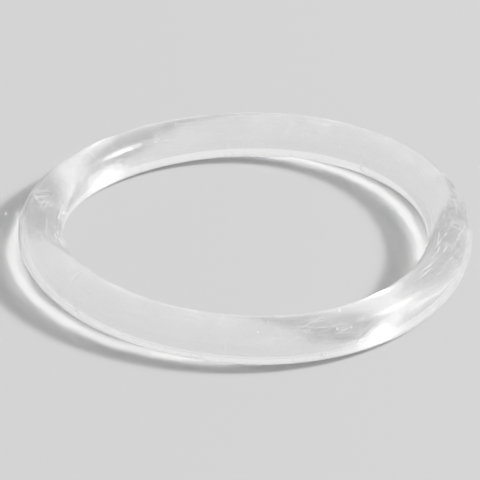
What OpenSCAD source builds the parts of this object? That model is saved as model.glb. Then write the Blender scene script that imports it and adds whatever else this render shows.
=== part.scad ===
// A rigid bangle: one round clear bar, bent into a ring, with its two ends cemented together.
// The ring lies flat, centred over the origin, and rests on the plane z = 0.

/* [Ring] */
// Diameter of the wrist opening, from wall to wall
wrist_d = 63; // [56:0.5:70]
// Diameter of the round bar
bar_d = 8; // [5:0.1:10]

/* [Joint] */
// Direction of the cemented joint, counter-clockwise from the +X axis
joint_angle = -59; // [-180:1:180]
// Thickness of the cement film between the bar's two ends
film_t = 0.2; // [0.1:0.05:0.5]

/* [Hidden] */

// Facets used where the ring is drawn on screen
$fn = 96;

// Radius of the bar's centre line
line_r = (wrist_d + bar_d) / 2;
// Angle that the cement film takes up on the centre line
film_angle = film_t / line_r * 180 / PI;

// A stretch of the round bar along the ring, from one direction through a sweep
module bent_bar(start, sweep) {
    translate([0, 0, bar_d / 2])
        rotate([0, 0, start])
            rotate_extrude(angle = sweep)
                translate([line_r, 0])
                    circle(d = bar_d);
}

// The clear bar, bent round until its square-cut ends nearly meet.
module acrylic_bar() {
    color([0.93, 0.95, 0.94, 0.4])
        bent_bar(joint_angle + film_angle / 2, 360 - film_angle);
}

// The thin film of acrylic cement that fills the gap and welds the two ends.
module cement_joint() {
    color([0.97, 0.97, 0.95, 0.7])
        bent_bar(joint_angle - film_angle / 2, film_angle);
}

acrylic_bar();
cement_joint();
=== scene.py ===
# %% [markdown]
# # A clear acrylic bangle
#
# The object is one round bar of clear acrylic, warmed, bent into a ring by hand, and closed by
# cementing its two ends. This lesson builds the ring and its joint, then the worn surface of the
# clear plastic, and last the floor, the lights and the camera. Clear things are seen by what they
# bend and reflect, so the form and the lights carry most of the look.

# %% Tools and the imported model
import math

import bmesh
import bpy
from mathutils import Matrix, Vector


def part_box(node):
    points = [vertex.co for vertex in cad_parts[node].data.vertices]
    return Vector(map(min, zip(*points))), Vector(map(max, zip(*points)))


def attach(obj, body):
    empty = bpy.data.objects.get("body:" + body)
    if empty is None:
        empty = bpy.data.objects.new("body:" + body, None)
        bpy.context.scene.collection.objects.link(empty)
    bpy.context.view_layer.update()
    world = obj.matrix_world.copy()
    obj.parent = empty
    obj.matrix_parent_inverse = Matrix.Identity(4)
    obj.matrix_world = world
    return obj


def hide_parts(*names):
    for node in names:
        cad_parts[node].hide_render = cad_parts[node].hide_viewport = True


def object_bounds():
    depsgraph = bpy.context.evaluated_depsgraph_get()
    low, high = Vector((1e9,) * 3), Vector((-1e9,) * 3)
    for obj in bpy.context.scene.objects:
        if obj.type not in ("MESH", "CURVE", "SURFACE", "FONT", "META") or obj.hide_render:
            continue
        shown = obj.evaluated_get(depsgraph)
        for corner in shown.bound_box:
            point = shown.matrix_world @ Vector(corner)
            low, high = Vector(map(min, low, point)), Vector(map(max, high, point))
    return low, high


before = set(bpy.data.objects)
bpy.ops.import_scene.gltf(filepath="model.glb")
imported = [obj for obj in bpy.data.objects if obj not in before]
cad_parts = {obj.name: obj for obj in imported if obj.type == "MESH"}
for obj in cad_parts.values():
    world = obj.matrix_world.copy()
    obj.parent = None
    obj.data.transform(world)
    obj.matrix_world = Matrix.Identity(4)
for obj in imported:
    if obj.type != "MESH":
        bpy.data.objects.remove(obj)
cad_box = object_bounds()
print("the object's box:", cad_box)

# %% [markdown]
# ## The sizes
#
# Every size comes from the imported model: how wide the ring is outside, how high it lies, which is
# the bar's thickness, and in which direction the joint is. Only the bend's own unevenness, the
# bar's slight oval and the film's thickness are stated here. A ring that is bent by hand from a
# springy rod has a few tighter places with easier ones between them. Here there are three, about
# half a millimetre each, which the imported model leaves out.
# Bending also squeezes a round bar into a slight oval: thinner across and taller by a few percent.

# %% Sizes from the model
MM = 0.001
low, high = Vector(cad_box[0]), Vector(cad_box[1])
bar_d = high.z - low.z
bar_r = bar_d / 2
bar_wide = 0.983 * bar_d
bar_high = 1.022 * bar_d
line_r = (high.x - low.x - bar_wide) / 2
film_low, film_high = (Vector(corner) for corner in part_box("cement_joint"))
film_middle = (film_low + film_high) / 2
joint_angle = math.atan2(film_middle.y, film_middle.x)
film_t = 0.2 * MM
print(f"bar {bar_d / MM:.2f} mm, centre line radius {line_r / MM:.2f} mm,",
      f"joint at {math.degrees(joint_angle):.1f} degrees")

# %% The three-lobed bend
lobe_rise = 0.55 * MM
lobe_angle = math.radians(-67)
lobe_sweep = math.radians(60)
lobe_shift = 2 * lobe_rise / (2 - math.sqrt(3))
tight_r = line_r + lobe_rise - lobe_shift
wide_r = tight_r + math.sqrt(3) * lobe_shift


def off_axis(axis_angle):
    """How far the lobes move the outline's box along one axis."""
    return lobe_rise * math.cos(3 * (axis_angle - lobe_angle))


ring_centre = Vector((-off_axis(0), -off_axis(math.pi / 2), low.z + bar_high / 2))
print(f"tight arcs {tight_r / MM:.2f} mm, wide arcs {wide_r / MM:.2f} mm")


# %% [markdown]
# ## Bending the bar
#
# A bent bar is a circle swept along arcs, so the Spin operator is the natural tool: it is the
# lathe's cousin, and it carries an outline round an axis in equal steps. The ring is six arcs that
# run into one another without a kink, so the same circle is spun six times, each time about the
# centre of the arc that it is on. The sweep starts on one side of the joint and ends on the other.

# %% The arcs' centres and the sweep
def arc_centre(direction, shift):
    """A point at a distance from the ring's centre, in one direction."""
    return ring_centre + Vector((math.cos(direction), math.sin(direction), 0)) * shift


def arc_turn(direction):
    """The turn within the first lobe's arc that lies in one direction from the ring's centre."""
    lean = direction - lobe_angle
    return lean + math.asin(lobe_shift * math.sin(lean) / tight_r)


joint_turn = arc_turn(joint_angle)
film_turn = film_t / tight_r
joint_centre = arc_centre(lobe_angle, lobe_shift)


def bar_arcs():
    """Centre and sweep of each arc, counter-clockwise from one side of the joint to the other."""
    arcs = [(joint_centre, lobe_sweep / 2 - joint_turn - film_turn / 2)]
    for number in range(1, 6):
        shift = -lobe_shift if number % 2 else lobe_shift
        arcs.append((arc_centre(lobe_angle + number * lobe_sweep, shift), lobe_sweep))
    arcs.append((joint_centre, lobe_sweep / 2 + joint_turn - film_turn / 2))
    return arcs


# %% [markdown]
# Each face also gets a place on an unrolled bar: U is the distance along the ring and V the
# distance round the bar, both in millimetres, so that scratches and pits can be laid out on it as
# on a flat sheet. The bar is slit open underneath, where it rests on the floor and nothing shows.

# %% A swept bar as a mesh
SIDES = 96
STEP = math.radians(0.75)


def lay_out(bm, angle_layer):
    """Writes the unrolled place of each face's corners to a UV map, in millimetres."""
    unrolled = bm.loops.layers.uv.new("unrolled")
    for face in bm.faces:
        turns = []
        rounds = []
        for corner in face.loops:
            spot = corner.vert.co
            turns.append((math.atan2(spot.y, spot.x) - joint_angle + math.pi) % math.tau - math.pi)
            rounds.append(corner.vert[angle_layer])
        if max(turns) - min(turns) > math.pi:
            turns = [turn % math.tau for turn in turns]
        if max(rounds) - min(rounds) > math.pi:
            rounds = [angle % math.tau for angle in rounds]
        for corner, turn, angle in zip(face.loops, turns, rounds):
            corner[unrolled].uv = (turn * line_r / MM, angle * bar_r / MM)


def swept_bar(name, start_turn, arcs):
    """A closed bar along the arcs, starting square to a turn of the first lobe's arc."""
    bm = bmesh.new()
    round_bar = bm.verts.layers.float.new("round_the_bar")
    bmesh.ops.create_circle(bm, segments=SIDES, radius=bar_r)
    for vert in bm.verts:
        angle = math.atan2(vert.co.y, vert.co.x)
        vert[round_bar] = (angle + math.pi / 2) % math.tau - math.pi / 2
    bmesh.ops.scale(bm, vec=(bar_wide / bar_d, bar_high / bar_d, 1), verts=bm.verts)
    stand_up = Matrix.Rotation(math.pi / 2, 4, "X")
    move_out = Matrix.Translation((tight_r, 0, 0))
    turn = Matrix.Rotation(lobe_angle + start_turn, 4, "Z")
    place = Matrix.Translation(joint_centre) @ turn @ move_out @ stand_up
    bmesh.ops.transform(bm, matrix=place, verts=bm.verts)
    outline = bm.edges[:]
    for centre, sweep in arcs:
        steps = max(1, round(sweep / STEP))
        ends = bmesh.ops.spin(bm, geom=outline, cent=centre, axis=(0, 0, 1),
                              angle=sweep, steps=steps)["geom_last"]
        outline = [item for item in ends if isinstance(item, bmesh.types.BMEdge)]
    for face in bm.faces:
        face.smooth = True
    rims = [edge for edge in bm.edges if edge.is_boundary]
    for edge in rims:
        edge.smooth = False
    for cap in bmesh.ops.edgeloop_fill(bm, edges=rims, mat_nr=1)["faces"]:
        cap.smooth = False
    bmesh.ops.recalc_face_normals(bm, faces=bm.faces)
    lay_out(bm, round_bar)
    mesh = bpy.data.meshes.new(name)
    bm.to_mesh(mesh)
    bm.free()
    piece = bpy.data.objects.new(name, mesh)
    bpy.context.scene.collection.objects.link(piece)
    return piece


# %% The bar and the film of cement
bent_bar = swept_bar("bent_acrylic_bar", joint_turn + film_turn / 2, bar_arcs())
cement_film = swept_bar("cement_film", joint_turn - film_turn / 2, [(joint_centre, film_turn)])
for piece in (bent_bar, cement_film):
    print(piece.name, len(piece.data.polygons), "faces")

# %% [markdown]
# ## The worn surface
#
# Cast acrylic is clearer than window glass but soft, so a worn bangle carries fine hairlines, a few
# deeper scratches, pits and some dust. Each is a mask, a number from 0 to 1 over the surface, made
# once in a node group. A mask then roughens the plastic and whitens it. The plastic itself is a
# Principled shader with full Transmission and the refractive index of acrylic, 1.49.

# %% Helpers for node groups
def new_group(name, inputs, outputs):
    """A node group with named sockets, and the nodes that stand for its inputs and outputs."""
    group = bpy.data.node_groups.new(name, "ShaderNodeTree")
    for label, kind, value in inputs:
        socket = group.interface.new_socket(label, in_out="INPUT", socket_type="NodeSocket" + kind)
        if value is not None:
            socket.default_value = value
    for label in outputs:
        group.interface.new_socket(label, in_out="OUTPUT", socket_type="NodeSocketFloat")
    return group, group.nodes.new("NodeGroupInput"), group.nodes.new("NodeGroupOutput")


def maths(tree, operation, first, second=None):
    """A Math node on two values or links; gives its output."""
    node = tree.nodes.new("ShaderNodeMath")
    node.operation = operation
    for socket, value in zip(node.inputs, (first, second)):
        if isinstance(value, bpy.types.NodeSocket):
            tree.links.new(value, socket)
        elif value is not None:
            socket.default_value = value
    return node.outputs[0]


def fade(tree, value, start, end):
    """A smooth step: 0 at start and 1 at end."""
    node = tree.nodes.new("ShaderNodeMapRange")
    node.interpolation_type = "SMOOTHSTEP"
    for label, number in (("From Min", start), ("From Max", end)):
        if isinstance(number, bpy.types.NodeSocket):
            tree.links.new(number, node.inputs[label])
        else:
            node.inputs[label].default_value = number
    tree.links.new(value, node.inputs["Value"])
    return node.outputs["Result"]


def noise(tree, vector, scale, detail=2.0, roughness=0.5):
    """A Noise texture on a vector; gives its value."""
    node = tree.nodes.new("ShaderNodeTexNoise")
    node.inputs["Scale"].default_value = scale
    node.inputs["Detail"].default_value = detail
    node.inputs["Roughness"].default_value = roughness
    tree.links.new(vector, node.inputs["Vector"])
    return node.outputs["Fac"]


# %% Hairlines: noise stretched along one direction
def hairline_group():
    """Fine parallel scratches in patches. Turn is their direction, in radians from the ring's."""
    group, given, result = new_group(
        "hairlines",
        (("Vector", "Vector", None), ("Turn", "Float", 0.0), ("Fineness", "Float", 4.0),
         ("Stretch", "Float", 0.03), ("Amount", "Float", 0.5)),
        ("Mask",))
    turned = group.nodes.new("ShaderNodeVectorRotate")
    turned.rotation_type = "Z_AXIS"
    group.links.new(given.outputs["Vector"], turned.inputs["Vector"])
    group.links.new(given.outputs["Turn"], turned.inputs["Angle"])
    squeeze = group.nodes.new("ShaderNodeCombineXYZ")
    along = maths(group, "MULTIPLY", given.outputs["Fineness"], given.outputs["Stretch"])
    group.links.new(along, squeeze.inputs[0])
    group.links.new(given.outputs["Fineness"], squeeze.inputs[1])
    stretched = group.nodes.new("ShaderNodeVectorMath")
    stretched.operation = "MULTIPLY"
    group.links.new(turned.outputs[0], stretched.inputs[0])
    group.links.new(squeeze.outputs[0], stretched.inputs[1])
    lines = fade(group, noise(group, stretched.outputs[0], 1.0, 3.0, 0.7), 0.56, 0.66)
    patches = noise(group, given.outputs["Vector"], 0.16, 2.0)
    least = maths(group, "SUBTRACT", 0.9, given.outputs["Amount"])
    patchy = fade(group, patches, least, maths(group, "ADD", least, 0.2))
    mask = maths(group, "MULTIPLY", lines, patchy)
    group.links.new(mask, result.inputs["Mask"])
    return group


# %% One mark at a stated place
def mark_group():
    """A short line or blot on the unrolled bar. Length and Width are half sizes in millimetres,
    and Wander is a slow random shift that makes its edges uneven, by as much as Wobble."""
    group, given, result = new_group(
        "placed_mark",
        (("Vector", "Vector", None), ("Centre", "Vector", (0.0, 0.0, 0.0)), ("Turn", "Float", 0.0),
         ("Length", "Float", 2.0), ("Width", "Float", 0.1), ("Wobble", "Float", 0.1),
         ("Wander", "Vector", None)),
        ("Mask",))
    scaled = group.nodes.new("ShaderNodeVectorMath")
    scaled.operation = "SCALE"
    group.links.new(given.outputs["Wander"], scaled.inputs[0])
    group.links.new(given.outputs["Wobble"], scaled.inputs["Scale"])
    bent = group.nodes.new("ShaderNodeVectorMath")
    bent.operation = "ADD"
    group.links.new(given.outputs["Vector"], bent.inputs[0])
    group.links.new(scaled.outputs[0], bent.inputs[1])
    away = group.nodes.new("ShaderNodeVectorMath")
    away.operation = "SUBTRACT"
    group.links.new(bent.outputs[0], away.inputs[0])
    group.links.new(given.outputs["Centre"], away.inputs[1])
    turned = group.nodes.new("ShaderNodeVectorRotate")
    turned.rotation_type = "Z_AXIS"
    turned.invert = True
    group.links.new(away.outputs[0], turned.inputs["Vector"])
    group.links.new(given.outputs["Turn"], turned.inputs["Angle"])
    parts = group.nodes.new("ShaderNodeSeparateXYZ")
    group.links.new(turned.outputs[0], parts.inputs[0])
    along = maths(group, "DIVIDE", parts.outputs[0], given.outputs["Length"])
    across = maths(group, "DIVIDE", parts.outputs[1], given.outputs["Width"])
    squares = maths(group, "ADD", maths(group, "POWER", maths(group, "ABSOLUTE", along), 2.0),
                    maths(group, "POWER", maths(group, "ABSOLUTE", across), 2.0))
    mask = maths(group, "SUBTRACT", 1.0, fade(group, squares, 0.35, 1.0))
    group.links.new(mask, result.inputs["Mask"])
    return group


# %% Dust and pits: scattered dots
def speck_group():
    """Round specks at random. Share is how many of the cells hold one, Size its reach."""
    group, given, result = new_group(
        "specks",
        (("Vector", "Vector", None), ("Scale", "Float", 1.0), ("Share", "Float", 0.1),
         ("Size", "Float", 0.1)),
        ("Mask",))
    cells = group.nodes.new("ShaderNodeTexVoronoi")
    group.links.new(given.outputs["Vector"], cells.inputs["Vector"])
    group.links.new(given.outputs["Scale"], cells.inputs["Scale"])
    colour = group.nodes.new("ShaderNodeSeparateColor")
    group.links.new(cells.outputs["Color"], colour.inputs[0])
    chosen = maths(group, "LESS_THAN", colour.outputs[0], given.outputs["Share"])
    reach = maths(group, "MULTIPLY", given.outputs["Size"], colour.outputs[1])
    near = maths(group, "SUBTRACT", 1.0, fade(group, cells.outputs["Distance"], 0.0, reach))
    group.links.new(maths(group, "MULTIPLY", chosen, near), result.inputs["Mask"])
    return group


HAIRLINES, MARK, SPECKS = hairline_group(), mark_group(), speck_group()
print("node groups:", [group.name for group in bpy.data.node_groups])


# %% [markdown]
# The marks that stand out on the real bangle are placed one by one: a scuffed oval and a notch at
# the joint, where the cement was rubbed down, scratches along and across the bar, and a few pits. A
# mark's place is its direction from the ring's centre and its angle round the bar, in degrees: 0 is
# the outer side, 90 the top and 180 the inner side. Its turn is measured from the ring's own
# direction.

# %% Where the marks are
# name: (direction, round the bar, turn, half length mm, half width mm, wobble mm, strength)
MARKS = {
    "joint_scuff": (-60.6, -4, 8, 1.5, 0.7, 1.2, 0.6),
    "joint_scuff_core": (-61.4, -2, 20, 0.6, 0.35, 0.8, 0.9),
    "joint_notch": (-64.4, 92, 70, 0.8, 0.16, 0.3, 1.0),
    "outer_speck": (-67.2, 41, 10, 0.22, 0.15, 0.1, 0.9),
    "outer_speck_small": (-63.6, 37, 0, 0.18, 0.12, 0.1, 0.9),
    "upright_scratch": (-94.4, 2, 90, 1.7, 0.10, 0.25, 0.9),
    "upright_scratch_pit": (-94.2, -12, 30, 0.2, 0.13, 0.1, 1.0),
    "front_pit": (-86.7, 50, 20, 0.22, 0.12, 0.1, 0.9),
    "slanted_scratch": (-142, 61, 102, 2.4, 0.08, 0.3, 1.0),
    "shoulder_nick": (-165, 116, 0, 1.4, 0.08, 0.4, 1.0),
    "shoulder_nick_inner": (-168, 128, 5, 1.0, 0.09, 0.3, 1.0),
    "shoulder_nick_low": (-162, 125, -6, 1.2, 0.07, 0.3, 0.9),
    "right_scratch_low": (-21, 96, 4, 1.7, 0.07, 0.3, 1.0),
    "right_scratch_outer": (-20, 81, 2, 1.4, 0.07, 0.3, 1.0),
    "right_scratch_mid": (-17, 104, -6, 2.2, 0.06, 0.4, 1.0),
    "right_scratch_long": (-14, 112, 8, 3.0, 0.06, 0.5, 1.0),
    "right_scratch_high": (-12, 96, -11, 0.9, 0.07, 0.2, 1.0),
    "right_pit": (-25, 98, 0, 0.16, 0.13, 0.1, 1.0),
    "right_pit_high": (-13, 65, 0, 0.17, 0.13, 0.1, 1.0),
    "right_swirl": (-34, 79, -2, 2.4, 0.09, 0.9, 1.0),
    "right_swirl_inner": (-31, 89, -8, 2.1, 0.08, 0.9, 1.0),
    "left_cross_scratch_high": (170, 84, 105, 1.6, 0.06, 0.3, 1.0),
    "left_cross_scratch": (173, 89, 112, 1.3, 0.06, 0.3, 1.0),
    "left_cross_scratch_low": (176, 95, 112, 1.2, 0.05, 0.3, 1.0),
}


def unrolled_place(direction, around):
    """A place on the unrolled bar, in millimetres, from a direction and an angle round the bar."""
    turn = (math.radians(direction) - joint_angle + math.pi) % math.tau - math.pi
    angle = (math.radians(around) + math.pi / 2) % math.tau - math.pi / 2
    return turn * line_r / MM, angle * bar_r / MM, 0.0


# %% A group node in a material
def use_group(tree, group, vector, **values):
    """Places a node group on a vector and sets its inputs; gives its mask."""
    node = tree.nodes.new("ShaderNodeGroup")
    node.node_tree = group
    tree.links.new(vector, node.inputs["Vector"])
    for label, value in values.items():
        if isinstance(value, bpy.types.NodeSocket):
            tree.links.new(value, node.inputs[label])
        else:
            node.inputs[label].default_value = value
    return node.outputs["Mask"]


def strongest(tree, masks):
    """The largest of several masks at each point."""
    total = masks[0]
    for mask in masks[1:]:
        total = maths(tree, "MAXIMUM", total, mask)
    return total


# %% [markdown]
# ## Clear acrylic
#
# The skin of the bar and of the cement film is one finish, because the joint was rubbed flush and
# polished over. Roughness is nearly nothing between the marks and high on them. Torn plastic and
# dust also scatter light back, which the Sheen layer gives: a trace of it everywhere and much of it
# on the marks, so that they read white on the dark parts of the bar. The hairlines and the specks
# press the surface in a little through a Bump node, along with a slow waviness, which is what the
# bending leaves in a bar that was smooth. The placed marks stay out of the Bump node: with two
# dozen of them in it the bar rendered black, most likely because the shader had grown too large.

# %% The clear skin
ACRYLIC_IOR = 1.49
SURFACE_DEPTH = 0.05 * MM
MARKED_TINT = (0.80, 0.80, 0.79, 1.0)
SHEEN_ROUGHNESS, SHEEN_CLEAN, SHEEN_MARKED = 0.9, 0.06, 0.94
DEEP_ROUGHNESS, FINE_ROUGHNESS, SPECK_ROUGHNESS = 0.55, 0.22, 0.6
# turn in degrees, lines per millimetre, amount
HAIRLINE_SETS = ((8, 5.0, 0.52), (-24, 4.0, 0.44), (66, 5.0, 0.44), (97, 4.5, 0.42))


def clear_skin(name, colour, clouding):
    """Clear plastic with its wear. Clouding is the roughness of the drawn lines along the bar."""
    material = bpy.data.materials.new(name)
    material.use_nodes = True
    tree = material.node_tree
    shader = tree.nodes["Principled BSDF"]
    shader.inputs["IOR"].default_value = ACRYLIC_IOR
    shader.inputs["Transmission Weight"].default_value = 1.0
    shader.inputs["Sheen Roughness"].default_value = SHEEN_ROUGHNESS
    place = tree.nodes.new("ShaderNodeUVMap")
    place.uv_map = "unrolled"
    flat = place.outputs["UV"]
    hairlines = [
        use_group(tree, HAIRLINES, flat, Turn=math.radians(turn), Fineness=fine, Amount=amount)
        for turn, fine, amount in HAIRLINE_SETS
    ]
    wander = tree.nodes.new("ShaderNodeTexNoise")
    wander.inputs["Scale"].default_value = 1.1
    tree.links.new(flat, wander.inputs["Vector"])
    centred = tree.nodes.new("ShaderNodeVectorMath")
    centred.operation = "SUBTRACT"
    centred.inputs[1].default_value = (0.5, 0.5, 0.5)
    tree.links.new(wander.outputs["Color"], centred.inputs[0])
    placed = 0.0
    for direction, around, turn, length, width, wobble, strength in MARKS.values():
        mask = use_group(tree, MARK, flat, Centre=unrolled_place(direction, around),
                         Turn=math.radians(turn), Length=length, Width=width, Wobble=wobble,
                         Wander=centred.outputs[0])
        placed = maths(tree, "MAXIMUM", placed, maths(tree, "MULTIPLY", mask, strength))
    drawn = tree.nodes.new("ShaderNodeVectorMath")
    drawn.operation = "MULTIPLY"
    drawn.inputs[1].default_value = (0.035, 1.1, 1.0)
    tree.links.new(flat, drawn.inputs[0])
    draw_lines = noise(tree, drawn.outputs[0], 1.0, 3.0, 0.6)
    grit = noise(tree, flat, 5.0, 4.0, 0.7)
    deep = maths(tree, "MULTIPLY", placed, maths(tree, "ADD", 0.45, grit))
    fine_lines = strongest(tree, hairlines)
    dust = use_group(tree, SPECKS, flat, Scale=1.7, Share=0.28, Size=0.22)
    pits = use_group(tree, SPECKS, flat, Scale=0.45, Share=0.14, Size=0.10)
    fine_dust = use_group(tree, SPECKS, flat, Scale=3.6, Share=0.45, Size=0.42)
    specks = strongest(tree, [dust, pits, maths(tree, "MULTIPLY", fine_dust, 0.7)])
    wear = maths(tree, "ADD", maths(tree, "MULTIPLY", deep, DEEP_ROUGHNESS),
                 maths(tree, "ADD", maths(tree, "MULTIPLY", fine_lines, FINE_ROUGHNESS),
                       maths(tree, "MULTIPLY", specks, SPECK_ROUGHNESS)))
    haze = maths(tree, "MULTIPLY", fade(tree, draw_lines, 0.48, 0.7), clouding)
    tree.links.new(maths(tree, "ADD", wear, haze), shader.inputs["Roughness"])
    caught = strongest(tree, [deep, maths(tree, "MULTIPLY", fine_lines, 0.75), specks])
    whitened = maths(tree, "ADD", SHEEN_CLEAN, maths(tree, "MULTIPLY", caught, SHEEN_MARKED))
    tree.links.new(whitened, shader.inputs["Sheen Weight"])
    tint = tree.nodes.new("ShaderNodeMix")
    tint.data_type = "RGBA"
    tint.inputs["A"].default_value = (*colour, 1.0)
    tint.inputs["B"].default_value = MARKED_TINT
    tinted = maths(tree, "MULTIPLY", strongest(tree, [deep, specks]), 0.8)
    tree.links.new(tinted, tint.inputs["Factor"])
    tree.links.new(tint.outputs["Result"], shader.inputs["Base Color"])
    waviness = noise(tree, flat, 0.22, 1.0)
    slow = maths(tree, "ADD", maths(tree, "MULTIPLY", waviness, 0.5),
                 maths(tree, "MULTIPLY", draw_lines, 0.20))
    relief = maths(tree, "SUBTRACT", slow,
                   maths(tree, "ADD", maths(tree, "MULTIPLY", fine_lines, 0.10),
                         maths(tree, "MULTIPLY", specks, 0.25)))
    bump = tree.nodes.new("ShaderNodeBump")
    bump.inputs["Distance"].default_value = SURFACE_DEPTH
    bump.inputs["Strength"].default_value = 1.0
    tree.links.new(relief, bump.inputs["Height"])
    tree.links.new(bump.outputs["Normal"], shader.inputs["Normal"])
    return material


# %% [markdown]
# ## Inside the joint
#
# Acrylic cement dissolves the two faces into each other, so light crosses them without bending.
# The end faces are therefore almost fully see-through instead of refracting: only tiny trapped
# bubbles show. That also keeps them from acting as a mirror inside the bar.

# %% The cemented faces
def cemented_face(name):
    """A face inside the plastic, clear but for tiny bubbles."""
    material = bpy.data.materials.new(name)
    material.use_nodes = True
    tree = material.node_tree
    shader = tree.nodes["Principled BSDF"]
    shader.inputs["Base Color"].default_value = (0.95, 0.95, 0.94, 1.0)
    shader.inputs["Roughness"].default_value = 0.4
    place = tree.nodes.new("ShaderNodeTexCoord")
    bubbles = use_group(tree, SPECKS, place.outputs["Object"], Scale=900.0, Share=0.15, Size=0.25)
    tree.links.new(maths(tree, "MULTIPLY", bubbles, 0.5), shader.inputs["Alpha"])
    return material


# %% Finishes on the two pieces
bar_skin = clear_skin("clear_acrylic_skin", (0.985, 0.99, 0.985), 0.05)
film_skin = clear_skin("cement_film_skin", (0.97, 0.97, 0.96), 0.25)
joint_face = cemented_face("cemented_face")
for piece, skin, node, slot in ((bent_bar, bar_skin, "acrylic_bar", "clear_acrylic"),
                                (cement_film, film_skin, "cement_joint", "acrylic_cement")):
    piece.data.materials.append(skin)
    piece.data.materials.append(joint_face)
    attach(piece, "root")
    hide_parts(node)
print("materials:", [material.name for material in bpy.data.materials])

# %% [markdown]
# ## Floor and light
#
# A clear ring shows its light as much as its form. One soft-edged lamp high on the right throws the
# bright bands through the bar on to the floor. It is four oval panels of growing size, nearly on
# one line, so that its image in the bar fades at the edges. An even surround fills the rest. Bands of
# light through a clear thing are lost if the renderer blurs shiny paths or cuts their brightness
# off low, so the first is turned off and the second set high.


# %% The floor
def pale_floor(half_size, shade):
    """A plain square floor at the height that the ring rests on."""
    bm = bmesh.new()
    bmesh.ops.create_grid(bm, x_segments=1, y_segments=1, size=half_size)
    bmesh.ops.translate(bm, verts=bm.verts, vec=(0, 0, low.z))
    mesh = bpy.data.meshes.new("floor")
    bm.to_mesh(mesh)
    bm.free()
    floor = bpy.data.objects.new("floor", mesh)
    bpy.context.scene.collection.objects.link(floor)
    material = bpy.data.materials.new("pale_floor")
    material.use_nodes = True
    shader = material.node_tree.nodes["Principled BSDF"]
    shader.inputs["Base Color"].default_value = (shade, shade, shade, 1.0)
    shader.inputs["Roughness"].default_value = 0.9
    shader.inputs["Specular IOR Level"].default_value = 0.2
    mesh.materials.append(material)
    print("floor half size", half_size, "m, shade", shade)


pale_floor(3.0, 0.215)

# %% The lamps
LAMP_AZIMUTH = 0.5
LAMP_DISTANCE = 2.5
SURROUND = (1.3, 1.3, 1.3, 1.0)


def panel(name, azimuth, elevation, distance, width, height, watts):
    """A flat oval lamp that faces the ring. Angles are in degrees, lengths in metres."""
    data = bpy.data.lights.new(name, "AREA")
    data.shape = "ELLIPSE"
    data.size = width
    data.size_y = height
    data.energy = watts
    lamp = bpy.data.objects.new(name, data)
    side, rise = math.radians(azimuth), math.radians(elevation)
    place = Vector((math.cos(rise) * math.cos(side), math.cos(rise) * math.sin(side), math.sin(rise)))
    lamp.location = place * distance
    lamp.rotation_euler = (-place).to_track_quat("-Z", "Y").to_euler()
    bpy.context.scene.collection.objects.link(lamp)
    print("lamp:", name, watts, "W")


# name, elevation, width, height, watts
for lamp_name, rise, width, height, watts in (
        ("small_lamp", 39, 0.34, 0.22, 85.0), ("lamp_rim", 39, 0.58, 0.42, 70.0),
        ("glow", 40, 0.95, 0.85, 34.0), ("soft_panel", 42, 1.6, 1.4, 18.0)):
    panel(lamp_name, LAMP_AZIMUTH, rise, LAMP_DISTANCE, width, height, watts)

surround = bpy.data.worlds.new("studio")
surround.use_nodes = True
surround.node_tree.nodes["Background"].inputs["Color"].default_value = SURROUND
bpy.context.scene.world = surround
bpy.context.scene.view_settings.view_transform = "AgX"
bpy.context.scene.view_settings.look = "AgX - Very High Contrast"
bpy.context.scene.cycles.blur_glossy = 0.0
bpy.context.scene.cycles.sample_clamp_indirect = 200.0

# %% [markdown]
# ## The camera
#
# A long lens from about half a metre, looking down by thirty degrees. The ring fills the frame and
# sits slightly off its middle.

# %% The camera
CAMERA_DISTANCE = 554.7 * MM
LOOK_DOWN = math.radians(30.28)
ROLL = math.radians(-0.62)
FOCAL_LENGTH = 239.25
SENSOR_WIDTH = 36
OFFSET_RIGHT, OFFSET_UP = 0.92 * MM, 1.50 * MM


def set_camera():
    """Places the camera and makes it the scene's own."""
    data = bpy.data.cameras.new("camera")
    data.lens = FOCAL_LENGTH
    data.sensor_width = SENSOR_WIDTH
    data.clip_start = 10 * MM
    camera = bpy.data.objects.new("camera", data)
    bpy.context.scene.collection.objects.link(camera)
    forward = Vector((0, math.cos(LOOK_DOWN), -math.sin(LOOK_DOWN)))
    roll = Matrix.Rotation(ROLL, 3, forward)
    right = roll @ Vector((1, 0, 0))
    up = roll @ Vector((0, math.sin(LOOK_DOWN), math.cos(LOOK_DOWN)))
    middle = Vector((0, 0, low.z + bar_high / 2))
    place = middle - right * OFFSET_RIGHT - up * OFFSET_UP - forward * CAMERA_DISTANCE
    turn = Matrix((right, up, -forward)).transposed().to_4x4()
    camera.matrix_world = Matrix.Translation(place) @ turn
    bpy.context.scene.camera = camera
    print("camera at", tuple(round(value, 4) for value in place))


set_camera()
